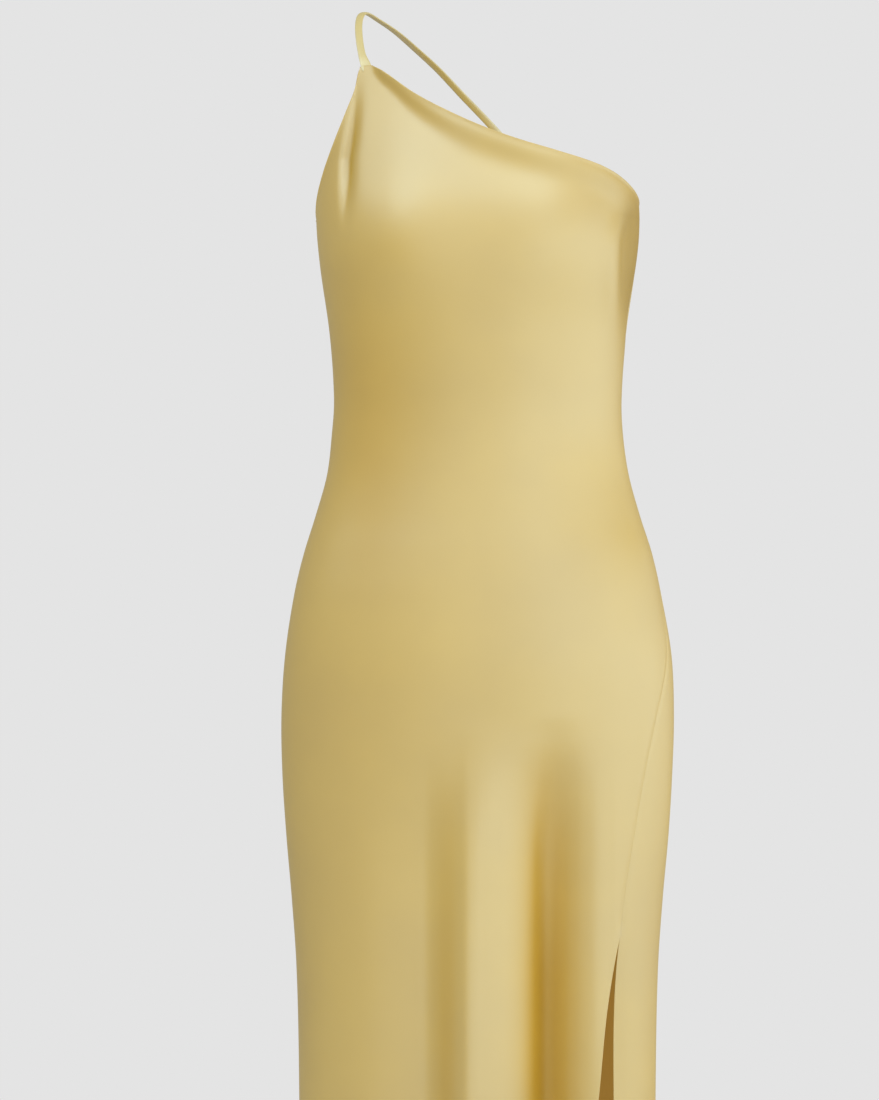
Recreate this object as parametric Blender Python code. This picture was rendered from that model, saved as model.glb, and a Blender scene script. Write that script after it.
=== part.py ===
# Long one-shoulder slip dress in satin, filled out as when worn, with no wearer.
# Metres, +Z up. The front faces -Y and +X is the side away from the strap's shoulder.
# The origin is under the top of the strap, where the shoulder holds the dress.
import math
from collections import namedtuple
from functools import lru_cache

import bpy
from mathutils import Vector

# Cloth and seams
WALL = 0.0012
SEAM_GAP = 0.0003

# Heights of the main lines
LEVEL_LINE = -0.260
SLIT_TOP = -0.930
HEM = -1.380

# Cross-sections of the dress: height, the two sides, the depth to the front and to the
# back of the side line, and how square the section is (2 is an ellipse)
Section = namedtuple("Section", "height left right front back squareness")
SECTIONS = (
    Section(-0.050, -0.032, 0.255, 0.072, 0.075, 2.3),
    Section(-0.100, -0.040, 0.262, 0.092, 0.090, 2.3),
    Section(-0.150, -0.046, 0.268, 0.108, 0.098, 2.3),
    Section(-0.200, -0.0495, 0.2735, 0.120, 0.100, 2.3),
    Section(-0.250, -0.0456, 0.2700, 0.122, 0.097, 2.3),
    Section(-0.320, -0.0362, 0.2602, 0.108, 0.089, 2.2),
    Section(-0.385, -0.0320, 0.2555, 0.097, 0.083, 2.15),
    Section(-0.420, -0.0342, 0.2569, 0.096, 0.084, 2.1),
    Section(-0.460, -0.0389, 0.2626, 0.099, 0.091, 2.1),
    Section(-0.500, -0.0500, 0.2735, 0.103, 0.103, 2.1),
    Section(-0.540, -0.0624, 0.2863, 0.107, 0.115, 2.15),
    Section(-0.580, -0.0718, 0.2950, 0.110, 0.125, 2.2),
    Section(-0.640, -0.0808, 0.3053, 0.112, 0.134, 2.2),
    Section(-0.700, -0.0845, 0.3078, 0.110, 0.135, 2.2),
    Section(-0.760, -0.0835, 0.3060, 0.108, 0.131, 2.2),
    Section(-0.820, -0.0796, 0.3023, 0.107, 0.127, 2.2),
    Section(-0.880, -0.0744, 0.2968, 0.106, 0.125, 2.25),
    Section(-0.950, -0.0695, 0.2919, 0.106, 0.123, 2.3),
    Section(-1.050, -0.0670, 0.2897, 0.107, 0.122, 2.3),
    Section(HEM, -0.0645, 0.2875, 0.110, 0.124, 2.3),
)

# Upper edges of the front, seen from the front
EdgePoint = namedtuple("EdgePoint", "x height")
ARMHOLE = (
    EdgePoint(-0.0495, -0.206),
    EdgePoint(-0.0478, -0.186),
    EdgePoint(-0.0405, -0.160),
    EdgePoint(-0.0300, -0.132),
    EdgePoint(-0.0188, -0.104),
    EdgePoint(-0.0098, -0.080),
    EdgePoint(-0.0048, -0.0575),
)
NECKLINE = (
    EdgePoint(0.0068, -0.0575),
    EdgePoint(0.0240, -0.0705),
    EdgePoint(0.0500, -0.0910),
    EdgePoint(0.0820, -0.1095),
    EdgePoint(0.1150, -0.1250),
    EdgePoint(0.1500, -0.1380),
    EdgePoint(0.1850, -0.1485),
    EdgePoint(0.2200, -0.1590),
    EdgePoint(0.2480, -0.1700),
    EdgePoint(0.2650, -0.1805),
    EdgePoint(0.2730, -0.1900),
)

# Upper edge of the back, by the angle round from the seam under the armhole
BackEdge = namedtuple("BackEdge", "angle height")
BACK_EDGE = (
    BackEdge(180.0, -0.190),
    BackEdge(215.0, -0.184),
    BackEdge(242.0, -0.180),
    BackEdge(270.0, -0.186),
    BackEdge(315.0, -0.200),
    BackEdge(360.0, -0.206),
)

# Seam at the right of the front: it leaves the side at the hip and runs forward to the slit
SeamPoint = namedtuple("SeamPoint", "height angle")
RIGHT_SEAM = (
    SeamPoint(-0.200, 180.0),
    SeamPoint(-0.500, 180.0),
    SeamPoint(-0.620, 167.0),
    SeamPoint(-0.700, 151.5),
    SeamPoint(-0.780, 143.5),
    SeamPoint(-0.930, 136.7),
    SeamPoint(-1.090, 137.3),
    SeamPoint(HEM, 137.3),
)
SLIT_SPREAD_AT_HEM = 18.0
FLAP_LIFT = 0.005
FLAP_REACH = 0.030

# Folds: which panel, where the fold starts and ends, how far it stands out (or in, when
# negative), and its half-widths to the left and to the right
Fold = namedtuple("Fold", "panel x_start height_start x_end height_end rise width_left width_right")
FOLDS = (
    Fold("front", 0.126, -0.720, 0.129, -0.960, 0.008, 0.016, 0.022),
    Fold("front", 0.080, -0.760, 0.077, -0.980, -0.009, 0.026, 0.016),
    Fold("front", 0.178, -0.750, 0.182, -0.960, -0.015, 0.020, 0.024),
    Fold("front", 0.222, -0.780, 0.225, -1.000, 0.005, 0.020, 0.020),
    Fold("front", 0.010, -0.780, 0.008, -1.050, 0.004, 0.030, 0.030),
    Fold("back", 0.112, -0.740, 0.108, -0.980, -0.010, 0.026, 0.022),
    Fold("back", 0.058, -0.760, 0.050, -1.020, 0.008, 0.022, 0.024),
    Fold("back", 0.172, -0.720, 0.180, -0.960, 0.009, 0.022, 0.026),
    Fold("back", 0.230, -0.800, 0.240, -1.060, -0.006, 0.020, 0.020),
    Fold("back", -0.005, -0.800, -0.012, -1.060, -0.005, 0.022, 0.020),
)

# Soft fullness over the bust: where it is, how far it stands out, how wide and how high
Fullness = namedtuple("Fullness", "x height rise width reach")
BUST = (
    Fullness(0.028, -0.215, 0.007, 0.045, 0.050),
    Fullness(0.196, -0.215, 0.007, 0.045, 0.050),
)

# Neckline: the edge stands out and the cloth dips in below it, fading at both ends,
# by the part of the way across the front
LIP_RISE = 0.006
LIP_REACH = 0.020
LIP_START = 0.25
LIP_FADE_LEFT = 0.08
LIP_FADE_RIGHT = 0.15

# Strap: a flat narrow tube
STRAP_WIDTH = 0.0072
STRAP_THICKNESS = 0.0024
STRAP_SIDES = 8
STRAP_SQUARENESS = 3.0
SHOULDER_AXIS = Vector((0.0, 0.020, -0.120))
STRAP_SEGMENTS = 36
STRAP_ROUTE = (
    Vector((-0.0030, -0.0460, -0.0460)),
    Vector((-0.0058, -0.0360, -0.0300)),
    Vector((-0.0068, -0.0240, -0.0140)),
    Vector((-0.0050, -0.0120, -0.0030)),
    Vector((0.0000, 0.0000, 0.0012)),
    Vector((0.0118, 0.0160, -0.0036)),
    Vector((0.0296, 0.0380, -0.0130)),
    Vector((0.0476, 0.0630, -0.0255)),
    Vector((0.0720, 0.0830, -0.0455)),
    Vector((0.0965, 0.0950, -0.0700)),
    Vector((0.1212, 0.1010, -0.0950)),
    Vector((0.1430, 0.1015, -0.1190)),
    Vector((0.1660, 0.0990, -0.1470)),
)
STRAP_BACK_ACROSS = 0.345

# Mesh density
ARMHOLE_COLUMNS = 10
TIP_COLUMNS = 1
NECKLINE_COLUMNS = 31
FRONT_COLUMNS = ARMHOLE_COLUMNS + TIP_COLUMNS + NECKLINE_COLUMNS
BACK_COLUMNS = 30
TOP_ROWS = 11
BODY_ROWS = 30

# Small steps for slopes: along a length, round a section, and across or down a panel
STEP = 0.001
STEP_ANGLE = 0.1
STEP_PART = 0.002

# Finish
SATIN = (0.66, 0.52, 0.25, 1.0)
SATIN_ROUGHNESS = 0.38
SHARP_ANGLE = 50.0


def clear_scene():
    """Remove whatever the scene holds."""
    for item in list(bpy.data.objects):
        bpy.data.objects.remove(item, do_unlink=True)


def smooth_step(value):
    value = min(max(value, 0.0), 1.0)
    return value * value * (3.0 - 2.0 * value)


def smooth_value(places, values, place):
    """Read a smooth curve through the values given at rising or falling places."""
    if places[0] > places[-1]:
        places = places[::-1]
        values = values[::-1]
    place = min(max(place, places[0]), places[-1])
    last = len(places) - 2
    index = 0
    while index < last and places[index + 1] < place:
        index += 1
    slopes = []
    for knot in (index, index + 1):
        before = max(knot - 1, 0)
        after = min(knot + 1, len(places) - 1)
        slopes.append((values[after] - values[before]) / (places[after] - places[before]))
    span = places[index + 1] - places[index]
    part = (place - places[index]) / span
    square = part * part
    cube = square * part
    return (
        values[index] * (2.0 * cube - 3.0 * square + 1.0)
        + values[index + 1] * (3.0 * square - 2.0 * cube)
        + slopes[0] * span * (cube - 2.0 * square + part)
        + slopes[1] * span * (cube - square)
    )


@lru_cache(maxsize=None)
def section_at(height):
    """Section of the plain form at a height."""
    heights = [section.height for section in SECTIONS]
    columns = list(zip(*SECTIONS))
    return Section(*[smooth_value(heights, list(column), height) for column in columns])


def ring_point(angle, height):
    """Point of the plain form, by degrees round from the left side across the front."""
    section = section_at(height)
    middle = (section.left + section.right) / 2.0
    half_width = (section.right - section.left) / 2.0
    across = -math.cos(math.radians(angle))
    forward = math.sin(math.radians(angle))
    power = section.squareness
    scale = (abs(across) ** power + abs(forward) ** power) ** (-1.0 / power)
    depth = section.front if forward > 0.0 else section.back
    return Vector((middle + half_width * across * scale, -depth * forward * scale, height))


def front_angle(x, height):
    """Angle at which the front of the form has this x."""
    section = section_at(height)
    middle = (section.left + section.right) / 2.0
    half_width = (section.right - section.left) / 2.0
    across = min(max((x - middle) / half_width, -1.0), 1.0)
    forward = (1.0 - abs(across) ** section.squareness) ** (1.0 / section.squareness)
    return math.degrees(math.atan2(forward, -across))


def edge_lengths(points):
    """Distance along an edge at each of its points."""
    lengths = [0.0]
    for first, second in zip(points, points[1:]):
        lengths.append(lengths[-1] + math.hypot(second.x - first.x, second.height - first.height))
    return lengths


def edge_point(points, part):
    """Point of an upper edge, by the part of its length."""
    lengths = edge_lengths(points)
    place = part * lengths[-1]
    x = smooth_value(lengths, [point.x for point in points], place)
    height = smooth_value(lengths, [point.height for point in points], place)
    return EdgePoint(x, height)


def front_top(across):
    """Angle and height of the front's upper edge: armhole, tip under the strap, neckline."""
    column = across * FRONT_COLUMNS
    if column <= ARMHOLE_COLUMNS:
        point = edge_point(ARMHOLE, column / ARMHOLE_COLUMNS)
    elif column < ARMHOLE_COLUMNS + TIP_COLUMNS:
        part = (column - ARMHOLE_COLUMNS) / TIP_COLUMNS
        first = ARMHOLE[-1]
        second = NECKLINE[0]
        point = EdgePoint(first.x + (second.x - first.x) * part, first.height)
    else:
        part = (column - ARMHOLE_COLUMNS - TIP_COLUMNS) / NECKLINE_COLUMNS
        point = edge_point(NECKLINE, part)
    if across <= 0.0:
        return 0.0, point.height
    if across >= 1.0:
        return 180.0, point.height
    return front_angle(point.x, point.height), point.height


def back_top(across):
    """Angle and height of the back's upper edge, by the part of the way round."""
    angle = 180.0 + 180.0 * across
    angles = [point.angle for point in BACK_EDGE]
    return angle, smooth_value(angles, [point.height for point in BACK_EDGE], angle)


def seam_angle(panel, height):
    """Angle of a panel's edge at the right seam, and below it at the slit."""
    heights = [point.height for point in RIGHT_SEAM]
    angle = smooth_value(heights, [point.angle for point in RIGHT_SEAM], height)
    if panel == "front" and height < SLIT_TOP:
        part = (SLIT_TOP - height) / (SLIT_TOP - HEM)
        angle -= SLIT_SPREAD_AT_HEM * part
    return angle


def fold_lift(panel, x, height):
    """How far the folds and the bust move the cloth out from the plain form."""
    lift = 0.0
    for fold in FOLDS:
        if fold.panel == panel:
            along = (fold.height_start - height) / (fold.height_start - fold.height_end)
            centre = fold.x_start + (fold.x_end - fold.x_start) * min(max(along, 0.0), 1.0)
            width = fold.width_left if x < centre else fold.width_right
            lift += fold.rise * smooth_step(along) * math.exp(-(((x - centre) / width) ** 2))
    if panel == "front":
        for bust in BUST:
            sideways = (x - bust.x) / bust.width
            upward = (height - bust.height) / bust.reach
            lift += bust.rise * math.exp(-(sideways ** 2) - upward ** 2)
    return lift


def lip_lift(across, drop):
    """How far the neckline stands out, by the place across and the distance below the edge."""
    fade = smooth_step((across - LIP_START) / LIP_FADE_LEFT) * smooth_step((1.0 - across) / LIP_FADE_RIGHT)
    return LIP_RISE * fade * math.exp(-((drop / LIP_REACH) ** 2))


def flap_lift(angle, height):
    """How far the front's edge stands out beside the slit."""
    if height > SLIT_TOP:
        return 0.0
    edge = seam_angle("front", height)
    section = section_at(height)
    distance = math.radians(edge - angle) * section.front
    opened = smooth_step((SLIT_TOP - height) / (SLIT_TOP - HEM))
    return FLAP_LIFT * opened * math.exp(-((distance / FLAP_REACH) ** 2))


def place_on_panel(panel, across, down):
    """Angle, height and drop below the edge. Down is 0 at the edge, 1 at the level line, 2 at the hem."""
    top = front_top if panel == "front" else back_top
    top_angle, top_height = top(across)
    if down > 1.0:
        height = LEVEL_LINE + (HEM - LEVEL_LINE) * (down - 1.0)
    else:
        height = top_height + (LEVEL_LINE - top_height) * down
    right = seam_angle(panel, height)
    level_angle = right * across
    if panel == "back":
        level_angle = right + (360.0 - right) * across
    blend = smooth_step(down)
    angle = top_angle + (level_angle - top_angle) * blend
    return angle, height, top_height - height


def cloth_point(panel, across, down):
    """Point of the outer face of a panel."""
    angle, height, drop = place_on_panel(panel, across, down)
    point = ring_point(angle, height)
    beside = ring_point(angle + STEP_ANGLE, height) - ring_point(angle - STEP_ANGLE, height)
    above = ring_point(angle, height + STEP) - ring_point(angle, height - STEP)
    outward = beside.cross(above).normalized()
    lift = fold_lift(panel, point.x, height)
    if panel == "front":
        lift += lip_lift(across, drop) + flap_lift(angle, height)
    return point + outward * lift


def cloth_frame(panel, across, down):
    """Point, outward normal and direction across the panel."""
    left = cloth_point(panel, max(across - STEP_PART, 0.0), down)
    right = cloth_point(panel, min(across + STEP_PART, 1.0), down)
    above = cloth_point(panel, across, max(down - STEP_PART, 0.0))
    below = cloth_point(panel, across, min(down + STEP_PART, 2.0))
    sideways = (right - left).normalized()
    outward = sideways.cross(above - below).normalized()
    return cloth_point(panel, across, down), outward, sideways


def make_material(name, colour):
    material = bpy.data.materials.new(name)
    material.use_nodes = True
    shader = material.node_tree.nodes["Principled BSDF"]
    shader.inputs["Base Color"].default_value = colour
    shader.inputs["Roughness"].default_value = SATIN_ROUGHNESS
    shader.inputs["Metallic"].default_value = 0.0
    material.diffuse_color = colour
    return material


def add_object(name, vertices, faces, material):
    mesh = bpy.data.meshes.new(name)
    mesh.from_pydata(vertices, [], faces)
    mesh.materials.append(material)
    mesh.shade_smooth()
    mesh.set_sharp_from_angle(angle=math.radians(SHARP_ANGLE))
    mesh.update()
    item = bpy.data.objects.new(name, mesh)
    bpy.context.scene.collection.objects.link(item)
    return item


def make_panel(panel, columns, material):
    """Closed wall of cloth: an outer and an inner face joined along all four edges."""
    rows = TOP_ROWS + BODY_ROWS
    outer = []
    inner = []
    for row in range(rows + 1):
        down = row / TOP_ROWS if row <= TOP_ROWS else 1.0 + (row - TOP_ROWS) / BODY_ROWS
        for column in range(columns + 1):
            point, outward, sideways = cloth_frame(panel, column / columns, down)
            if column == 0:
                point += sideways * SEAM_GAP / 2.0
            if column == columns:
                point -= sideways * SEAM_GAP / 2.0
            outer.append(point)
            inner.append(point - outward * WALL)
    wide = columns + 1
    count = len(outer)
    faces = []
    for row in range(rows):
        for column in range(columns):
            corner = row * wide + column
            quad = (corner, corner + wide, corner + wide + 1, corner + 1)
            faces.append(quad)
            faces.append(tuple(count + index for index in reversed(quad)))
    border = list(range(wide))
    border += [row * wide + columns for row in range(1, rows + 1)]
    border += [rows * wide + column for column in range(columns - 1, -1, -1)]
    border += [row * wide for row in range(rows - 1, 0, -1)]
    for index, first in enumerate(border):
        second = border[(index + 1) % len(border)]
        faces.append((first, second, count + second, count + first))
    return add_object(panel, outer + inner, faces, material)


def rim_plane(panel, across):
    """Middle of a panel's upper rim and the direction square to it, up out of the cloth."""
    point, outward, sideways = cloth_frame(panel, across, 0.0)
    upward = outward.cross(sideways)
    if upward.z < 0.0:
        upward = -upward
    return point - outward * WALL / 2.0, upward


def strap_route(tip, end):
    """Middle line of the strap, from above the front's tip to above the back's edge."""
    points = [tip[0] + tip[1] * SEAM_GAP] + list(STRAP_ROUTE) + [end[0] + end[1] * SEAM_GAP]
    lengths = [0.0]
    for first, second in zip(points, points[1:]):
        lengths.append(lengths[-1] + (second - first).length)
    axes = [[point[axis] for point in points] for axis in range(3)]
    return lengths, axes


def strap_ring(centre, along):
    """Corners of the strap's section, flat against the shoulder and the back."""
    outward = centre - SHOULDER_AXIS
    outward.x = 0.0
    outward = (outward - along * outward.dot(along)).normalized()
    sideways = along.cross(outward)
    ring = []
    for side in range(STRAP_SIDES):
        turn = 2.0 * math.pi * (side + 0.5) / STRAP_SIDES
        wide = math.cos(turn)
        thick = math.sin(turn)
        scale = (abs(wide) ** STRAP_SQUARENESS + abs(thick) ** STRAP_SQUARENESS) ** (-1.0 / STRAP_SQUARENESS)
        offset = sideways * (wide * STRAP_WIDTH / 2.0) + outward * (thick * STRAP_THICKNESS / 2.0)
        ring.append(centre + offset * scale)
    return ring


def cut_ring(ring, along, plane):
    """Slide the corners along the strap onto a rim, a seam's gap clear of it."""
    point, upward = plane
    clear = point + upward * SEAM_GAP
    return [corner + along * ((clear - corner).dot(upward) / along.dot(upward)) for corner in ring]


def make_strap(material):
    """Strap swept along its route, its two ends cut to lie on the rims of the cloth."""
    tip = rim_plane("front", (ARMHOLE_COLUMNS + TIP_COLUMNS / 2.0) / FRONT_COLUMNS)
    end = rim_plane("back", STRAP_BACK_ACROSS)
    lengths, axes = strap_route(tip, end)
    vertices = []
    for segment in range(STRAP_SEGMENTS + 1):
        place = lengths[-1] * segment / STRAP_SEGMENTS
        centre, before, after = [
            Vector([smooth_value(lengths, axis, spot) for axis in axes])
            for spot in (place, place - STEP, place + STEP)
        ]
        along = (after - before).normalized()
        ring = strap_ring(centre, along)
        if segment == 0:
            ring = cut_ring(ring, along, tip)
        if segment == STRAP_SEGMENTS:
            ring = cut_ring(ring, along, end)
        vertices += ring
    faces = []
    for segment in range(STRAP_SEGMENTS):
        for side in range(STRAP_SIDES):
            corner = segment * STRAP_SIDES + side
            beside = segment * STRAP_SIDES + (side + 1) % STRAP_SIDES
            faces.append((corner, corner + STRAP_SIDES, beside + STRAP_SIDES, beside))
    faces.append(tuple(range(STRAP_SIDES)))
    last = STRAP_SEGMENTS * STRAP_SIDES
    faces.append(tuple(last + side for side in reversed(range(STRAP_SIDES))))
    return add_object("strap", vertices, faces, material)


def main():
    clear_scene()
    make_panel("front", FRONT_COLUMNS, make_material("satin_front", SATIN))
    make_panel("back", BACK_COLUMNS, make_material("satin_back", SATIN))
    make_strap(make_material("satin_strap", SATIN))


main()
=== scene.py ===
# Looks of the long one-shoulder satin dress: fine cloth, seams and edges, satin, light and camera.
import math
from collections import namedtuple

import bpy
import numpy as np
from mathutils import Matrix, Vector


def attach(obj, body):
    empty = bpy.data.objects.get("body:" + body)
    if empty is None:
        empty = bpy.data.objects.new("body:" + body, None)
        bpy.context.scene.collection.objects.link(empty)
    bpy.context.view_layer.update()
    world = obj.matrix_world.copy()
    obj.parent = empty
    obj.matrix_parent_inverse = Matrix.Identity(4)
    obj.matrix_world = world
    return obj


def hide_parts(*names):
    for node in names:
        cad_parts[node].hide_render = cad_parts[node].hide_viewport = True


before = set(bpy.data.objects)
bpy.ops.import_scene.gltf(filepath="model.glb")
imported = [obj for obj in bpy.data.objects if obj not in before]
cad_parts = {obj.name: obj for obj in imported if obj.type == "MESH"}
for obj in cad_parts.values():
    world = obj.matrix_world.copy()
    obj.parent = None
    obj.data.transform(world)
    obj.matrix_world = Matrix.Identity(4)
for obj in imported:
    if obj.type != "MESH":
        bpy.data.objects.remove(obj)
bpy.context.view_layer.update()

# Heights of the main lines, in metres below the strap's top, and the cloth's thickness
LEVEL_LINE = -0.260
SLIT_TOP = -0.912
HEM = -1.380
CLOTH = 0.0009

# Cross-sections: height, sides, depth to the front and to the back, and squareness
SECTION_COLUMNS = ("height", "left", "right", "front", "back", "squareness")
SECTIONS = (
    (-0.050, -0.032, 0.255, 0.072, 0.075, 2.3),
    (-0.100, -0.040, 0.262, 0.092, 0.090, 2.3),
    (-0.150, -0.046, 0.268, 0.108, 0.098, 2.3),
    (-0.200, -0.0495, 0.2735, 0.119, 0.100, 2.3),
    (-0.250, -0.0456, 0.2700, 0.120, 0.097, 2.3),
    (-0.320, -0.0362, 0.2602, 0.110, 0.089, 2.2),
    (-0.385, -0.0320, 0.2555, 0.101, 0.083, 2.15),
    (-0.420, -0.0342, 0.2569, 0.099, 0.084, 2.1),
    (-0.460, -0.0389, 0.2626, 0.100, 0.091, 2.1),
    (-0.500, -0.0500, 0.2735, 0.103, 0.103, 2.1),
    (-0.540, -0.0624, 0.2863, 0.107, 0.115, 2.15),
    (-0.580, -0.0718, 0.2950, 0.110, 0.125, 2.2),
    (-0.640, -0.0808, 0.3053, 0.112, 0.134, 2.2),
    (-0.700, -0.0845, 0.3078, 0.110, 0.135, 2.2),
    (-0.760, -0.0835, 0.3060, 0.108, 0.131, 2.2),
    (-0.820, -0.0796, 0.3023, 0.107, 0.127, 2.2),
    (-0.880, -0.0744, 0.2968, 0.106, 0.125, 2.25),
    (-0.950, -0.0695, 0.2919, 0.106, 0.123, 2.3),
    (-1.050, -0.0670, 0.2897, 0.107, 0.122, 2.3),
    (HEM, -0.0645, 0.2875, 0.110, 0.124, 2.3),
)

# Upper edges of the front: x and height
ARMHOLE = (
    (-0.0495, -0.206),
    (-0.0478, -0.186),
    (-0.0405, -0.160),
    (-0.0300, -0.132),
    (-0.0188, -0.104),
    (-0.0098, -0.080),
    (-0.0048, -0.0575),
)
NECKLINE = (
    (0.0068, -0.0575),
    (0.0240, -0.0705),
    (0.0500, -0.0910),
    (0.0820, -0.1095),
    (0.1150, -0.1250),
    (0.1500, -0.1380),
    (0.1850, -0.1485),
    (0.2200, -0.1590),
    (0.2480, -0.1700),
    (0.2650, -0.1805),
    (0.2730, -0.1900),
)
# Upper edge of the back: degrees round from the left side across the front, and height
BACK_EDGE = (
    (180.0, -0.190),
    (215.0, -0.184),
    (242.0, -0.180),
    (270.0, -0.186),
    (315.0, -0.200),
    (360.0, -0.206),
)
# Right seam: height, and degrees round
RIGHT_SEAM = (
    (-0.200, 180.0),
    (-0.500, 180.0),
    (-0.620, 167.0),
    (-0.700, 151.5),
    (-0.780, 143.5),
    (-0.930, 136.7),
    (-1.090, 137.3),
    (HEM, 137.3),
)
# Slit: height, and how many degrees its front edge lies away from the seam
SLIT_SPREAD = (
    (HEM, 22.0),
    (-1.070, 7.7),
    (-1.000, 4.6),
    (-0.950, 2.0),
    (SLIT_TOP, 0.0),
)
# The front's edge stands out a little along the slit: how far, and how far in that reaches
FLAP_LIFT = 0.005
FLAP_REACH = 0.030

# Folds: panel, start and end of the line (x, height), rise, half-widths left and right where
# the fold is full, how much it grows from there to the hem, and the heights between which it
# fades out again (None for a fold that runs to the hem)
Fold = namedtuple("Fold", "panel x_start height_start x_end height_end rise left right grow fade")
# A fold starts at this share of its width, and one that grows widens by this much of its growth
FOLD_WIDTH_AT_START = 0.8
FOLD_WIDENING = 0.25
FOLDS = (
    Fold("front", -0.0035, -0.058, -0.0190, -0.150, -0.0062, 0.004, 0.008, 0.0, (-0.160, -0.230)),
    Fold("front", 0.2640, -0.190, 0.2580, -0.230, -0.0040, 0.008, 0.008, 0.0, (-0.260, -0.340)),
    Fold("front", 0.2450, -0.200, 0.2420, -0.240, 0.0025, 0.009, 0.009, 0.0, (-0.270, -0.350)),
    Fold("back", 0.112, -0.740, 0.108, -0.980, -0.014, 0.026, 0.022, 0.3, None),
    Fold("back", 0.058, -0.760, 0.050, -1.020, 0.009, 0.022, 0.024, 0.3, None),
    Fold("back", 0.172, -0.720, 0.180, -0.960, 0.010, 0.022, 0.026, 0.3, None),
    Fold("back", 0.230, -0.800, 0.240, -1.060, -0.008, 0.020, 0.020, 0.3, None),
    Fold("back", -0.005, -0.800, -0.012, -1.060, -0.006, 0.022, 0.020, 0.3, None),
)
# The great fold down the front of the skirt, across it: x, and how far it stands out
GREAT_FOLD = (
    (-0.040, 0.0000),
    (0.000, -0.0015),
    (0.030, -0.0055),
    (0.050, -0.0080),
    (0.062, -0.0085),
    (0.072, -0.0035),
    (0.082, 0.0045),
    (0.091, 0.0115),
    (0.099, 0.0160),
    (0.108, 0.0152),
    (0.117, 0.0122),
    (0.126, 0.0088),
    (0.135, 0.0048),
    (0.145, -0.0008),
    (0.153, -0.0060),
    (0.160, -0.0112),
    (0.167, -0.0170),
    (0.173, -0.0225),
    (0.179, -0.0265),
    (0.185, -0.0285),
    (0.191, -0.0275),
    (0.198, -0.0230),
    (0.206, -0.0160),
    (0.215, -0.0090),
    (0.228, -0.0025),
    (0.245, 0.0000),
)
# How full that fold is down the skirt: height, on its left flank, and in its trough
GREAT_FOLD_GROWTH = (
    (-0.700, 0.00, 0.00),
    (-0.735, 0.05, 0.18),
    (-0.775, 0.28, 0.52),
    (-0.815, 0.60, 0.80),
    (-0.860, 0.84, 0.93),
    (-0.990, 1.05, 1.05),
    (HEM, 1.25, 1.25),
)
# Where across the fold the flank's fullness gives way to the trough's, in x
GREAT_FOLD_TURN = (0.080, 0.125)
# Painted shade where the cloth folds on itself, multiplied into the satin's colour: panel, start and end of
# the line (x, height), strength, half-widths left and right, the heights between which it fades out again, and
# the shade's colour
# Colours of the painted shade that the satin is multiplied by: a warm, deep one and a grey one
PAINTED_SHADE_WARM = (0.78, 0.68, 0.55)
PAINTED_SHADE_GREY = (0.62, 0.60, 0.58)
PaintedCreaseShade = namedtuple("PaintedCreaseShade", "panel x_start height_start x_end height_end strength left right fade tint")
# Power with which a crease's painted shade rises in strength along its line
CREASE_SHADE_ONSET = 0.7
PAINTED_CREASE_SHADES = (
    PaintedCreaseShade("front", 0.178, -0.720, 0.182, -0.960, 0.85, 0.025, 0.026, None, PAINTED_SHADE_WARM),
    PaintedCreaseShade("front", 0.178, -0.750, 0.181, -0.960, 0.62, 0.012, 0.012, None, PAINTED_SHADE_GREY),
    PaintedCreaseShade("front", 0.083, -0.760, 0.082, -0.980, 0.30, 0.014, 0.009, None, PAINTED_SHADE_WARM),
    PaintedCreaseShade("front", 0.270, -0.175, 0.264, -0.205, 0.95, 0.014, 0.020, (-0.270, -0.380), PAINTED_SHADE_GREY),
    PaintedCreaseShade("front", -0.010, -0.230, 0.000, -0.360, 0.28, 0.030, 0.045, (-0.440, -0.620), PAINTED_SHADE_WARM),
    PaintedCreaseShade("front", -0.0040, -0.060, -0.0190, -0.150, 0.50, 0.003, 0.006, (-0.150, -0.210), PAINTED_SHADE_GREY),
)
# Soft fullness over the bust: x, height, rise, width and reach
BUST = ((0.026, -0.228, 0.007, 0.045, 0.060), (0.190, -0.210, 0.004, 0.055, 0.060))

# Neckline: the edge stands out and the cloth dips in below it, tighter near the tip.
# The rise and the reaches are in metres, and the rest are parts of the front's width.
LIP_RISE = 0.0075
LIP_REACH_AT_TIP = 0.006
LIP_REACH = 0.021
LIP_START = 0.25
LIP_WIDENING = 0.30
LIP_FADE_LEFT = 0.05
LIP_FADE_RIGHT = 0.15

# Painted shade in a dark band under the neckline's edge: strength, and its distance below the edge and
# half-depth as shares of the reach
NECK_PAINTED_SHADE = (0.22, 0.75, 0.55)
# Rolled edges and seams: how thick a roll is, how wide, and how far a seam sinks in
ROLL_RISE = 0.0007
ROLL_WIDTH = 0.0018
SEAM_DIP = 0.0008
SEAM_WIDTH = 0.0022
# Shares of the roll's thickness at the turned hem and along the slit
HEM_ROLL = 0.7
SLIT_ROLL = 0.6
HEM_DEPTH = 0.012
HEM_EDGE = 0.0015
# Turns a panel's angle into a distance from its seam
SEAM_RADIUS = 0.12
# How far a wall's rounded rim stands past its two faces, as a share of its thickness
RIM_BULGE = 0.1

# Parts of the front's upper edge that the armhole and the tip take up
ARMHOLE_PART = 12.0 / 51.0
TIP_PART = 1.0 / 51.0

# Strap: its section, its sewn ends, and where it meets the back, as a part of the back's width
STRAP_WIDTH = 0.0072
STRAP_THICKNESS = 0.0024
STRAP_SQUARENESS = 2.6
STRAP_TUCK = 0.0022
STRAP_TUCK_GROWTH = 1.6
STRAP_SEWN_AT_TIP = 0.4
STRAP_SEWN_AT_BACK = 0.25
STRAP_SEWN = 0.005
STRAP_SEWN_THICKNESS = 0.0012
STRAP_THINNING = 0.006
STRAP_FLARE = 0.0030
STRAP_FLARE_REACH = 0.010
STRAP_BACK_ACROSS = 0.345
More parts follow.
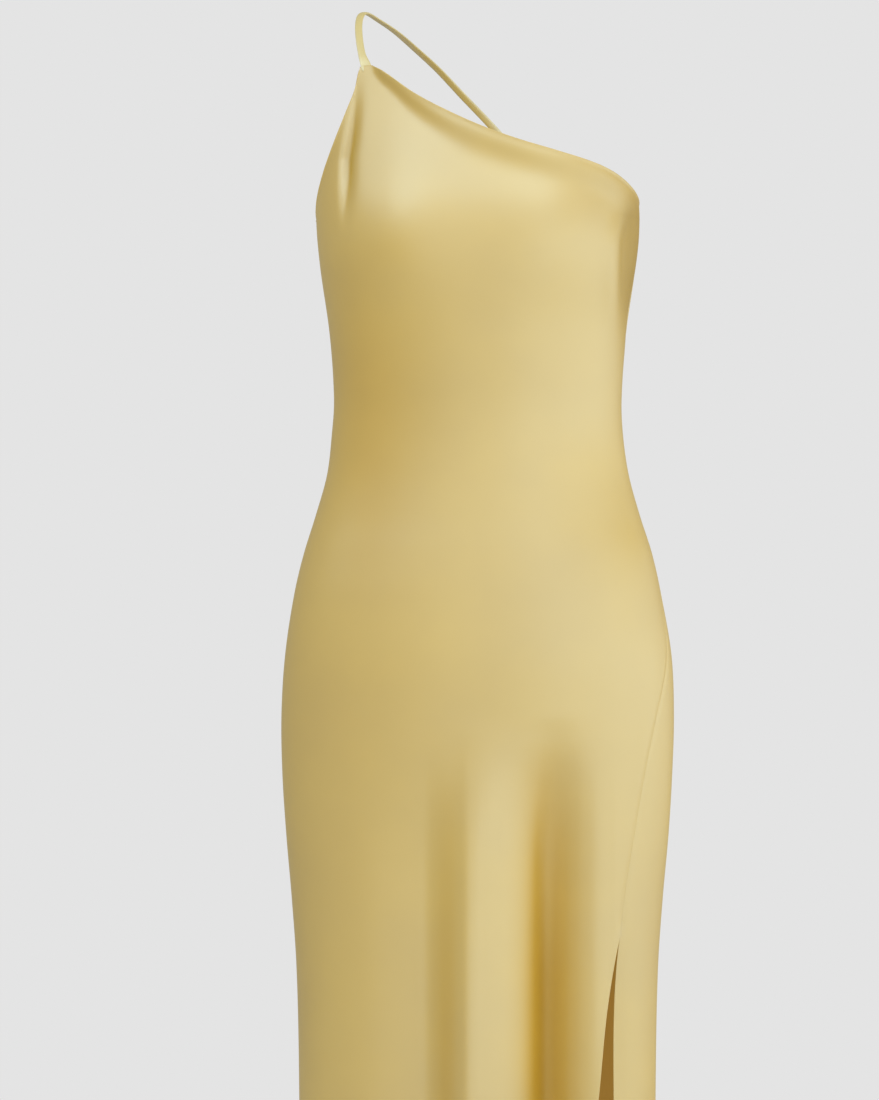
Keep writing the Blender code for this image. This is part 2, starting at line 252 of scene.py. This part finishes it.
# The strap's flat side faces away from this point inside the shoulder, seen from the side
SHOULDER_AXIS = (0.0, 0.020, -0.120)
STRAP_ROUTE = (
    (-0.0030, -0.0460, -0.0460),
    (-0.0058, -0.0360, -0.0300),
    (-0.0068, -0.0240, -0.0140),
    (-0.0050, -0.0120, -0.0030),
    (0.0000, 0.0000, 0.0012),
    (0.0118, 0.0160, -0.0036),
    (0.0296, 0.0380, -0.0130),
    (0.0476, 0.0630, -0.0255),
    (0.0720, 0.0830, -0.0455),
    (0.0965, 0.0950, -0.0700),
    (0.1212, 0.1010, -0.0950),
    (0.1430, 0.1015, -0.1190),
    (0.1660, 0.0990, -0.1470),
)

# Mesh density, and the places close together at a panel's sides and upper edge, as parts of its
# width and of the stretch down to the level line, and at its hem, as distances above it.
# No even row lies closer above the hem's rows than the clearance.
FRONT_COLUMNS = 184
BACK_COLUMNS = 132
TOP_ROWS = 70
BODY_ROWS = 170
SIDE_PLACES = (0.0, 0.001, 0.002, 0.0032)
EDGE_PLACES = (0.0, 0.003, 0.006, 0.010)
HEM_PLACES = (0.0125, 0.0115, 0.0108, 0.0101, 0.0094, 0.003, 0.0)
ROW_CLEARANCE = 0.002
STRAP_SEGMENTS = 240
STRAP_SIDES = 28
# Steps across and down with which one point of a panel's upper edge is read
PROBE_ACROSS = 0.004
PROBE_DOWN = 0.01

# Satin: colours, the cool tint of its gloss, and roughness, specular level and index of
# refraction of its face and of its duller reverse
FACE_COLOUR = (0.66, 0.41, 0.015)
REVERSE_COLOUR = (0.55, 0.36, 0.09)
STRAP_COLOUR = (0.69, 0.53, 0.15)
GLOSS = (0.66, 0.92, 1.0)
FACE_SURFACE = (0.45, 1.0, 2.05)
REVERSE_SURFACE = (0.6, 0.5, 1.5)
# Faint painted glow on the reverse, standing in for the light that comes through the cloth
REVERSE_PAINTED_GLOW = (0.48, 0.33, 0.08, 1.0)
REVERSE_PAINTED_GLOW_STRENGTH = 0.26
# Soft clouds in the colour: scale, detail, and what the darkest and lightest are multiplied by
CLOUD_SCALE = 7.0
CLOUD_DETAIL = 3.0
CLOUD_RANGE = (0.3, 0.7)
CLOUD_DARK = (0.95, 0.94, 0.90)
CLOUD_LIGHT = (1.04, 1.05, 1.08)
# Threads on the bias, as bump
THREAD_TURN = math.radians(45.0)
THREAD_SCALE = (900.0, 900.0, 90.0)
THREAD_DETAIL = 2.0
THREAD_STRENGTH = 0.05
THREAD_DEPTH = 0.0004

# Floor, background, fill and camera
FLOOR_LEVEL = -1.42
FLOOR_SIDE = 4.0
FLOOR_FRONT = -6.0
FLOOR_BACK = 2.1
FLOOR_COLOUR = (0.74, 0.74, 0.74, 1.0)
FLOOR_ROUGHNESS = 0.8
BACKGROUND = (0.776, 0.776, 0.776, 1.0)
FILL = (0.460, 0.460, 0.460, 1.0)
CAMERA_PLACE = (0.0735, -4.0, -0.5354)
CAMERA_SENSOR = 36.0
# Height that the picture shows at the depth of the strap's top
SHOWN_HEIGHT = 1.1

# Soft boxes round the dress: name, degrees to the right of the front, degrees up, and power
SOFT_BOXES = (
    ("front_left_high", -25.0, 40.0, 20.1),
    ("left_high", -70.0, 40.0, 11.4),
    ("front_right_high", 20.0, 40.0, 19.1),
    ("right_high", 65.0, 40.0, 7.4),
    ("front", 0.0, 0.0, 3.8),
    ("front_right", 30.0, 0.0, 9.9),
    ("right", 60.0, 0.0, 11.2),
    ("side", 90.0, 0.0, 10.9),
    ("side_back", 120.0, 0.0, 6.9),
    ("low", 0.0, -35.0, 7.7),
)
LIGHT_TARGET = (0.1, 0.0, -0.55)
LIGHT_DISTANCE = 3.2
LIGHT_SIZE = 1.6


def step(value):
    """0 below 0, 1 above 1, and a smooth rise between."""
    value = np.clip(value, 0.0, 1.0)
    return value * value * (3.0 - 2.0 * value)


def curve(table, place, column=1):
    """Smooth curve through a table's column, read at many places along its first column."""
    rows = sorted(table)
    places = np.array([row[0] for row in rows])
    values = np.array([row[column] for row in rows])
    slopes = np.zeros(len(rows))
    for index in range(len(rows)):
        before = max(index - 1, 0)
        after = min(index + 1, len(rows) - 1)
        slopes[index] = (values[after] - values[before]) / (places[after] - places[before])
    place = np.clip(place, places[0], places[-1])
    index = np.clip(np.searchsorted(places, place) - 1, 0, len(rows) - 2)
    span = places[index + 1] - places[index]
    part = (place - places[index]) / span
    square = part * part
    cube = square * part
    return (
        values[index] * (2.0 * cube - 3.0 * square + 1.0)
        + values[index + 1] * (3.0 * square - 2.0 * cube)
        + slopes[index] * span * (cube - 2.0 * square + part)
        + slopes[index + 1] * span * (cube - square)
    )


def section(height):
    """The cross-section's values at a height, by name."""
    return {name: curve(SECTIONS, height, i) for i, name in enumerate(SECTION_COLUMNS) if i}


def ring(angle, height):
    """Points of the plain form, as an array with x, y and z last."""
    form = section(height)
    middle = (form["left"] + form["right"]) / 2.0
    half_width = (form["right"] - form["left"]) / 2.0
    across = -np.cos(np.radians(angle))
    forward = np.sin(np.radians(angle))
    power = form["squareness"]
    scale = (np.abs(across) ** power + np.abs(forward) ** power) ** (-1.0 / power)
    depth = np.where(forward > 0.0, form["front"], form["back"])
    x = middle + half_width * across * scale
    y = -depth * forward * scale
    return np.stack([x, y, height + 0.0 * angle], axis=-1)


def front_angle(x, height):
    """Degrees round at which the front's plain form has this x."""
    form = section(height)
    middle = (form["left"] + form["right"]) / 2.0
    half_width = (form["right"] - form["left"]) / 2.0
    across = np.clip((x - middle) / half_width, -1.0, 1.0)
    forward = (1.0 - np.abs(across) ** form["squareness"]) ** (1.0 / form["squareness"])
    return np.degrees(np.arctan2(forward, -across))


def edge_points(table, part):
    """x and height along an upper edge, by the part of its length."""
    points = np.array(table)
    lengths = np.concatenate([[0.0], np.cumsum(np.hypot(*np.diff(points, axis=0).T))])
    place = part * lengths[-1]
    rows = [(length, *point) for length, point in zip(lengths, table)]
    return curve(rows, place, 1), curve(rows, place, 2)


def front_top(across):
    """Degrees round and height of the front's upper edge: armhole, tip and neckline."""
    start = ARMHOLE_PART
    finish = ARMHOLE_PART + TIP_PART
    arm_x, arm_height = edge_points(ARMHOLE, np.clip(across / start, 0.0, 1.0))
    neck_x, neck_height = edge_points(NECKLINE, np.clip((across - finish) / (1.0 - finish), 0.0, 1.0))
    tip = np.clip((across - start) / TIP_PART, 0.0, 1.0)
    tip_x = ARMHOLE[-1][0] * (1.0 - tip) + NECKLINE[0][0] * tip
    x = np.where(across <= start, arm_x, np.where(across >= finish, neck_x, tip_x))
    height = np.where(across <= start, arm_height, np.where(across >= finish, neck_height, NECKLINE[0][1]))
    angle = front_angle(x, height)
    angle = np.where(across <= 0.0, 0.0, np.where(across >= 1.0, 180.0, angle))
    return angle, height


def back_top(across):
    """Degrees round and height of the back's upper edge."""
    angle = 180.0 + 180.0 * across
    return angle, curve(BACK_EDGE, angle)


def seam_angle(panel, height):
    """Degrees round of a panel's right edge: the seam, and the slit below it."""
    angle = curve(RIGHT_SEAM, height)
    if panel == "front":
        angle = angle - curve(SLIT_SPREAD, height)
    return angle


def fold_lift(panel, x, height):
    """How far folds and the bust's fullness stand out from the plain form."""
    lift = np.zeros_like(x)
    for fold in FOLDS:
        if fold.panel != panel:
            continue
        along = (fold.height_start - height) / (fold.height_start - fold.height_end)
        centre = fold.x_start + (fold.x_end - fold.x_start) * np.clip(along, 0.0, 1.0)
        width = np.where(x < centre, fold.left, fold.right)
        below = np.clip((fold.height_end - height) / (fold.height_end - HEM), 0.0, 1.0)
        rise = fold.rise * step(along) * (1.0 + fold.grow * below)
        fullness = FOLD_WIDTH_AT_START + (1.0 - FOLD_WIDTH_AT_START) * step(along)
        width = width * (fullness + FOLD_WIDENING * fold.grow * below)
        if fold.fade:
            rise = rise * step((height - fold.fade[1]) / (fold.fade[0] - fold.fade[1]))
        lift += rise * np.exp(-(((x - centre) / width) ** 2))
    if panel == "front":
        turn = step((x - GREAT_FOLD_TURN[0]) / (GREAT_FOLD_TURN[1] - GREAT_FOLD_TURN[0]))
        flank = curve(GREAT_FOLD_GROWTH, height, 1)
        trough = curve(GREAT_FOLD_GROWTH, height, 2)
        lift += curve(GREAT_FOLD, x) * (flank + (trough - flank) * turn)
        for centre, middle, rise, width, reach in BUST:
            lift += rise * np.exp(-(((x - centre) / width) ** 2) - ((height - middle) / reach) ** 2)
    return lift


def lip_reach(across):
    """How far below the neckline its dip lies."""
    return LIP_REACH_AT_TIP + (LIP_REACH - LIP_REACH_AT_TIP) * step((across - LIP_START) / LIP_WIDENING)


def lip_fade(across):
    """1 along the neckline, and 0 at the armhole and at the right side."""
    return step((across - LIP_START) / LIP_FADE_LEFT) * step((1.0 - across) / LIP_FADE_RIGHT)


def lip_lift(across, drop):
    """How far the neckline's edge stands out, by the distance below it."""
    return LIP_RISE * lip_fade(across) * np.exp(-((drop / lip_reach(across)) ** 2))


def flap_lift(angle, height):
    """How far the front stands out along the slit."""
    edge = seam_angle("front", height)
    distance = np.radians(edge - angle) * section(height)["front"]
    opened = step((SLIT_TOP - height) / (SLIT_TOP - HEM))
    return FLAP_LIFT * opened * np.exp(-((distance / FLAP_REACH) ** 2))


def painted_fold_shade(panel, x, height, across, drop):
    """Painted shade that the satin's colour is multiplied by: 1 on open cloth, less in the folds and under the
    neckline's edge.
    """
    tint = np.ones((*x.shape, 3))
    for crease_shade in PAINTED_CREASE_SHADES:
        if crease_shade.panel != panel:
            continue
        along = (crease_shade.height_start - height) / (crease_shade.height_start - crease_shade.height_end)
        centre = crease_shade.x_start + (crease_shade.x_end - crease_shade.x_start) * np.clip(along, 0.0, 1.0)
        width = np.where(x < centre, crease_shade.left, crease_shade.right)
        amount = crease_shade.strength * np.clip(along, 0.0, 1.0) ** CREASE_SHADE_ONSET
        if crease_shade.fade:
            amount = amount * step((height - crease_shade.fade[1]) / (crease_shade.fade[0] - crease_shade.fade[1]))
        amount = amount * np.exp(-(((x - centre) / width) ** 2))
        tint *= 1.0 - amount[..., None] * (1.0 - np.array(crease_shade.tint))
    # Painted shade in a band under the neckline's edge
    if panel == "front":
        strength, middle, depth = NECK_PAINTED_SHADE
        from_middle = (drop / lip_reach(across) - middle) / depth
        amount = strength * lip_fade(across) * np.exp(-(from_middle**2))
        tint *= 1.0 - amount[..., None] * (1.0 - np.array(PAINTED_SHADE_GREY))
    return tint


def normals_of(points):
    """Outward normals of a grid of points, rows running down and columns across."""
    sideways = np.gradient(points, axis=1)
    down = np.gradient(points, axis=0)
    outward = np.cross(down, sideways)
    return outward / np.linalg.norm(outward, axis=-1, keepdims=True)


def cloth_grid(panel, across, down):
    """Outer face of a panel as a grid of points, and the painted shade at each."""
    across, down = np.meshgrid(across, down)
    top_angle, top_height = (front_top if panel == "front" else back_top)(across)
    height = np.where(
        down > 1.0,
        LEVEL_LINE + (HEM - LEVEL_LINE) * (down - 1.0),
        top_height + (LEVEL_LINE - top_height) * down,
    )
    right = seam_angle(panel, height)
    level_angle = right * across if panel == "front" else right + (360.0 - right) * across
    angle = top_angle + (level_angle - top_angle) * step(down)
    drop = top_height - height
    points = ring(angle, height)
    lift = fold_lift(panel, points[..., 0], height)
    if panel == "front":
        lift = lift + lip_lift(across, drop) + flap_lift(angle, height)
    span = np.radians(right if panel == "front" else 360.0 - right) * SEAM_RADIUS
    from_seam = np.minimum(across, 1.0 - across) * span
    from_hem = height - HEM
    tip = ARMHOLE_PART + TIP_PART / 2.0
    at_tip = np.exp(-(((across - tip) / TIP_PART) ** 4)) if panel == "front" else 0.0
    lift = lift + ROLL_RISE * (1.0 - at_tip) * np.exp(-((drop / ROLL_WIDTH) ** 2))
    lift = lift + ROLL_RISE * HEM_ROLL * step(1.0 + (HEM_DEPTH - from_hem) / HEM_EDGE)
    opened = (height < SLIT_TOP) & (across > 0.5 if panel == "front" else across < 0.5)
    lift = lift + np.where(opened, ROLL_RISE * SLIT_ROLL, -SEAM_DIP) * np.exp(-((from_seam / SEAM_WIDTH) ** 2))
    # Painted shade of the folds and under the neckline, as a colour multiplier
    tint = painted_fold_shade(panel, points[..., 0], height, across, drop)
    return points + normals_of(points) * lift[..., None], tint


def spread(count, fine):
    """Places from 0 to 1, with a few close together at each end."""
    near = np.array(fine)
    return np.concatenate([near, np.linspace(0.0, 1.0, count + 1)[1:-1], 1.0 - near[::-1]])


def add_mesh(name, vertices, faces, materials, slots=None, smooth=True):
    """Object with a new mesh, and the material slot of each face where slots are given."""
    mesh = bpy.data.meshes.new(name)
    mesh.from_pydata([tuple(v) for v in vertices], [], faces)
    for material in materials:
        mesh.materials.append(material)
    if slots is not None:
        mesh.polygons.foreach_set("material_index", slots)
    if smooth:
        mesh.shade_smooth()
    mesh.update()
    item = bpy.data.objects.new(name, mesh)
    bpy.context.scene.collection.objects.link(item)
    return item


def rows_down():
    """Places down a panel: 0 at its upper edge, 1 at the level line and 2 at the hem."""
    top = np.concatenate([np.array(EDGE_PLACES), np.linspace(0.0, 1.0, TOP_ROWS + 1)[1:]])
    body = np.linspace(1.0, 2.0, BODY_ROWS + 1)[1:-1]
    hem = 2.0 - np.array(HEM_PLACES) / (LEVEL_LINE - HEM)
    return np.concatenate([top, body[body < hem[0] - ROW_CLEARANCE], hem])


def border_of(rows, wide):
    """Indices round the border of a grid of points."""
    border = list(range(wide))
    border += [row * wide + wide - 1 for row in range(1, rows)]
    border += [(rows - 1) * wide + column for column in range(wide - 2, -1, -1)]
    border += [row * wide for row in range(rows - 2, 0, -1)]
    return border


def rim_of(outer, inner, border):
    """Points of the rounded rim between the two faces of a wall."""
    rows, wide = outer.shape[:2]
    flat_outer = outer.reshape(-1, 3)
    flat_inner = inner.reshape(-1, 3)
    rim = []
    for index in border:
        row, column = divmod(index, wide)
        inside_row = min(max(row, 1), rows - 2)
        inside_column = min(max(column, 1), wide - 2)
        away = flat_outer[index] - flat_outer[inside_row * wide + inside_column]
        away /= np.linalg.norm(away)
        rim.append((flat_outer[index] + flat_inner[index]) / 2.0 + away * CLOTH * RIM_BULGE)
    return np.array(rim)


def make_panel(name, panel, columns, materials):
    """Closed cloth wall with a rounded, turned edge all round."""
    outer, tint = cloth_grid(panel, spread(columns, SIDE_PLACES), rows_down())
    inner = outer - normals_of(outer) * CLOTH
    rows, wide = outer.shape[:2]
    count = rows * wide
    border = border_of(rows, wide)
    size = len(border)
    rim = rim_of(outer, inner, border)
    vertices = np.concatenate([outer.reshape(-1, 3), inner.reshape(-1, 3), rim])
    faces = []
    slots = []
    for row in range(rows - 1):
        for column in range(wide - 1):
            corner = row * wide + column
            quad = (corner, corner + wide, corner + wide + 1, corner + 1)
            faces.append(quad)
            slots.append(0)
            faces.append(tuple(count + index for index in reversed(quad)))
            slots.append(1)
    for place, first in enumerate(border):
        following = (place + 1) % size
        second = border[following]
        faces.append((first, second, 2 * count + following, 2 * count + place))
        slots.append(0)
        faces.append((2 * count + place, 2 * count + following, count + second, count + first))
        slots.append(0)
    item = add_mesh(name, vertices, faces, materials, slots)
    # The painted shade goes on every point as a colour attribute
    flat = np.concatenate([tint.reshape(-1, 3), np.ones((count, 1))], axis=1)
    colours = np.concatenate([flat, flat, flat[border]]).astype(np.float32)
    layer = item.data.attributes.new("tint", "FLOAT_COLOR", "POINT")
    layer.data.foreach_set("color", colours.reshape(-1))
    return item


def multiplied(material, first, second):
    """Output of one colour multiplied by another."""
    node = material.node_tree.nodes.new("ShaderNodeMix")
    node.data_type = "RGBA"
    node.blend_type = "MULTIPLY"
    node.inputs["Factor"].default_value = 1.0
    material.node_tree.links.new(first, node.inputs["A"])
    material.node_tree.links.new(second, node.inputs["B"])
    return node.outputs["Result"]


def clouded(material, place, colour):
    """Output of a colour with faint soft clouds in it."""
    nodes = material.node_tree.nodes
    links = material.node_tree.links
    cloud = nodes.new("ShaderNodeTexNoise")
    cloud.inputs["Scale"].default_value = CLOUD_SCALE
    cloud.inputs["Detail"].default_value = CLOUD_DETAIL
    links.new(place, cloud.inputs["Vector"])
    ramp = nodes.new("ShaderNodeValToRGB")
    for element, position, share in zip(ramp.color_ramp.elements, CLOUD_RANGE, (CLOUD_DARK, CLOUD_LIGHT)):
        element.position = position
        element.color = (*(value * part for value, part in zip(colour, share)), 1.0)
    links.new(cloud.outputs["Fac"], ramp.inputs["Fac"])
    return ramp.outputs["Color"]


def thread_bump(material, place):
    """Output of a normal with fine threads on the bias."""
    nodes = material.node_tree.nodes
    links = material.node_tree.links
    stretch = nodes.new("ShaderNodeMapping")
    stretch.inputs["Rotation"].default_value = (0.0, THREAD_TURN, 0.0)
    stretch.inputs["Scale"].default_value = THREAD_SCALE
    links.new(place, stretch.inputs["Vector"])
    thread = nodes.new("ShaderNodeTexNoise")
    thread.inputs["Scale"].default_value = 1.0
    thread.inputs["Detail"].default_value = THREAD_DETAIL
    links.new(stretch.outputs["Vector"], thread.inputs["Vector"])
    bump = nodes.new("ShaderNodeBump")
    bump.inputs["Strength"].default_value = THREAD_STRENGTH
    bump.inputs["Distance"].default_value = THREAD_DEPTH
    links.new(thread.outputs["Fac"], bump.inputs["Height"])
    return bump.outputs["Normal"]


def satin_material(name, colour, surface, with_painted_shade=True):
    """Warm cloth with a cool gloss. Where asked, the mesh's painted shade darkens both in its folds."""
    material = bpy.data.materials.new(name)
    material.use_nodes = True
    nodes = material.node_tree.nodes
    links = material.node_tree.links
    shader = nodes["Principled BSDF"]
    roughness, specular, ior = surface
    shader.inputs["Roughness"].default_value = roughness
    shader.inputs["IOR"].default_value = ior
    shader.inputs["Specular IOR Level"].default_value = specular
    place = nodes.new("ShaderNodeTexCoord").outputs["Object"]
    clouds = clouded(material, place, colour)
    if with_painted_shade:
        # Painted shade from the mesh darkens the base colour, and the gloss by its square
        tint = nodes.new("ShaderNodeAttribute")
        tint.attribute_name = "tint"
        base = multiplied(material, clouds, tint.outputs["Color"])
        painted_shade_squared = multiplied(material, tint.outputs["Color"], tint.outputs["Color"])
        gloss = nodes.new("ShaderNodeRGB")
        gloss.outputs[0].default_value = (*GLOSS, 1.0)
        links.new(base, shader.inputs["Base Color"])
        links.new(multiplied(material, gloss.outputs[0], painted_shade_squared), shader.inputs["Specular Tint"])
    else:
        shader.inputs["Specular Tint"].default_value = (*GLOSS, 1.0)
        links.new(clouds, shader.inputs["Base Color"])
    links.new(thread_bump(material, place), shader.inputs["Normal"])
    return material


def route_curve(points, place):
    """Points on a smooth curve through a route, by the part of its length."""
    lengths = np.concatenate([[0.0], np.cumsum(np.linalg.norm(np.diff(points, axis=0), axis=1))])
    rows = [(length, *point) for length, point in zip(lengths, points)]
    return np.stack([curve(rows, place * lengths[-1], axis) for axis in (1, 2, 3)], axis=-1)


def edge_point(panel, place):
    """Point of a panel's upper edge, at a part of its width."""
    across = np.array([place - PROBE_ACROSS, place, place + PROBE_ACROSS])
    points = cloth_grid(panel, across, np.array([0.0, PROBE_DOWN]))[0]
    return points[0, 1]


def strap_centres():
    """The strap's middle line, from behind the front's tip to inside the back's edge."""
    tip = edge_point("front", ARMHOLE_PART + TIP_PART / 2.0)
    end = edge_point("back", STRAP_BACK_ACROSS)
    tuck = np.array([0.0, STRAP_TUCK, 0.0])
    sewn_tip = tip + (tip - STRAP_ROUTE[0]) * STRAP_SEWN_AT_TIP + tuck * STRAP_TUCK_GROWTH
    sewn_end = end + (end - STRAP_ROUTE[-1]) * STRAP_SEWN_AT_BACK
    points = np.array([sewn_tip, tip + tuck, *STRAP_ROUTE, end, sewn_end])
    return route_curve(points, np.linspace(0.0, 1.0, STRAP_SEGMENTS + 1))


def make_strap(material):
    """Narrow sewn tube from the front's tip over the shoulder to the back's edge."""
    centres = strap_centres()
    along = np.gradient(centres, axis=0)
    along /= np.linalg.norm(along, axis=1, keepdims=True)
    vertices = []
    lengths = np.concatenate([[0.0], np.cumsum(np.linalg.norm(np.diff(centres, axis=0), axis=1))])
    from_tip = np.maximum(lengths - STRAP_SEWN, 0.0)
    from_end = np.maximum(lengths[-1] - STRAP_SEWN - lengths, 0.0)
    widths = STRAP_WIDTH + STRAP_FLARE * np.exp(-((from_tip / STRAP_FLARE_REACH) ** 2))
    thin = np.exp(-((np.minimum(from_tip, from_end) / STRAP_THINNING) ** 2))
    thicknesses = STRAP_THICKNESS + (STRAP_SEWN_THICKNESS - STRAP_THICKNESS) * thin
    for centre, forward, width, thickness in zip(centres, along, widths, thicknesses):
        outward = centre - SHOULDER_AXIS
        outward[0] = 0.0
        outward -= forward * outward.dot(forward)
        outward /= np.linalg.norm(outward)
        sideways = np.cross(forward, outward)
        for side in range(STRAP_SIDES):
            turn = 2.0 * math.pi * side / STRAP_SIDES
            wide = math.cos(turn)
            thick = math.sin(turn)
            power = STRAP_SQUARENESS
            scale = (abs(wide) ** power + abs(thick) ** power) ** (-1.0 / power)
            offset = sideways * wide * width + outward * thick * thickness
            vertices.append(centre + offset * scale / 2.0)
    faces = []
    for segment in range(STRAP_SEGMENTS):
        for side in range(STRAP_SIDES):
            corner = segment * STRAP_SIDES + side
            beside = segment * STRAP_SIDES + (side + 1) % STRAP_SIDES
            faces.append((corner, corner + STRAP_SIDES, beside + STRAP_SIDES, beside))
    faces.append(tuple(range(STRAP_SIDES)))
    last = STRAP_SEGMENTS * STRAP_SIDES
    faces.append(tuple(last + side for side in reversed(range(STRAP_SIDES))))
    return add_mesh("strap_tube", vertices, faces, [material])


def make_floor():
    """Pale studio floor below the picture's lower edge."""
    material = bpy.data.materials.new("pale_floor")
    material.use_nodes = True
    shader = material.node_tree.nodes["Principled BSDF"]
    shader.inputs["Base Color"].default_value = FLOOR_COLOUR
    shader.inputs["Roughness"].default_value = FLOOR_ROUGHNESS
    vertices = [
        (-FLOOR_SIDE, FLOOR_FRONT, FLOOR_LEVEL),
        (FLOOR_SIDE, FLOOR_FRONT, FLOOR_LEVEL),
        (FLOOR_SIDE, FLOOR_BACK, FLOOR_LEVEL),
        (-FLOOR_SIDE, FLOOR_BACK, FLOOR_LEVEL),
    ]
    floor = add_mesh("floor", vertices, [(0, 1, 2, 3)], [material], smooth=False)


def add_soft_boxes():
    """Square lights round the dress, each aimed at its middle."""
    for name, turn, rise, power in SOFT_BOXES:
        turn = math.radians(turn)
        rise = math.radians(rise)
        sideways = math.sin(turn) * math.cos(rise)
        backward = -math.cos(turn) * math.cos(rise)
        offset = Vector((sideways, backward, math.sin(rise))) * LIGHT_DISTANCE
        data = bpy.data.lights.new(name, "AREA")
        data.shape = "RECTANGLE"
        data.size = LIGHT_SIZE
        data.size_y = LIGHT_SIZE
        data.energy = power
        light = bpy.data.objects.new(name, data)
        light.location = Vector(LIGHT_TARGET) + offset
        light.rotation_euler = (-offset).to_track_quat("-Z", "Y").to_euler()
        bpy.context.scene.collection.objects.link(light)


def set_world():
    """Even grey behind the dress, and a dimmer soft fill on it."""
    world = bpy.data.worlds.new("studio")
    bpy.context.scene.world = world
    world.use_nodes = True
    nodes = world.node_tree.nodes
    links = world.node_tree.links
    seen = nodes.new("ShaderNodeBackground")
    seen.inputs["Color"].default_value = BACKGROUND
    fill = nodes["Background"]
    fill.inputs["Color"].default_value = FILL
    path = nodes.new("ShaderNodeLightPath")
    mix = nodes.new("ShaderNodeMixShader")
    links.new(path.outputs["Is Camera Ray"], mix.inputs[0])
    links.new(fill.outputs["Background"], mix.inputs[1])
    links.new(seen.outputs["Background"], mix.inputs[2])
    links.new(mix.outputs["Shader"], nodes["World Output"].inputs["Surface"])


def set_camera():
    """Level camera in front, at the photo's framing."""
    data = bpy.data.cameras.new("camera")
    data.sensor_width = CAMERA_SENSOR
    data.lens = CAMERA_SENSOR * -CAMERA_PLACE[1] / SHOWN_HEIGHT
    camera = bpy.data.objects.new("camera", data)
    camera.location = CAMERA_PLACE
    camera.rotation_euler = (math.radians(90.0), 0.0, 0.0)
    bpy.context.scene.collection.objects.link(camera)
    bpy.context.scene.camera = camera


bpy.context.scene.view_settings.view_transform = "Standard"
outside = satin_material("satin_face", FACE_COLOUR, FACE_SURFACE)
inside = satin_material("satin_reverse", REVERSE_COLOUR, REVERSE_SURFACE)
# Painted glow on the reverse, standing in for light that comes through the cloth
reverse_shader = inside.node_tree.nodes["Principled BSDF"]
reverse_shader.inputs["Emission Color"].default_value = REVERSE_PAINTED_GLOW
reverse_shader.inputs["Emission Strength"].default_value = REVERSE_PAINTED_GLOW_STRENGTH
front = make_panel("front_cloth", "front", FRONT_COLUMNS, [outside, inside])
back = make_panel("back_cloth", "back", BACK_COLUMNS, [outside, inside])
strap = make_strap(satin_material("satin_strap", STRAP_COLOUR, FACE_SURFACE, with_painted_shade=False))
for piece, node in ((front, "front"), (back, "back"), (strap, "strap")):
    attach(piece, "root")
    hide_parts(node)
make_floor()
set_world()
set_camera()
add_soft_boxes()
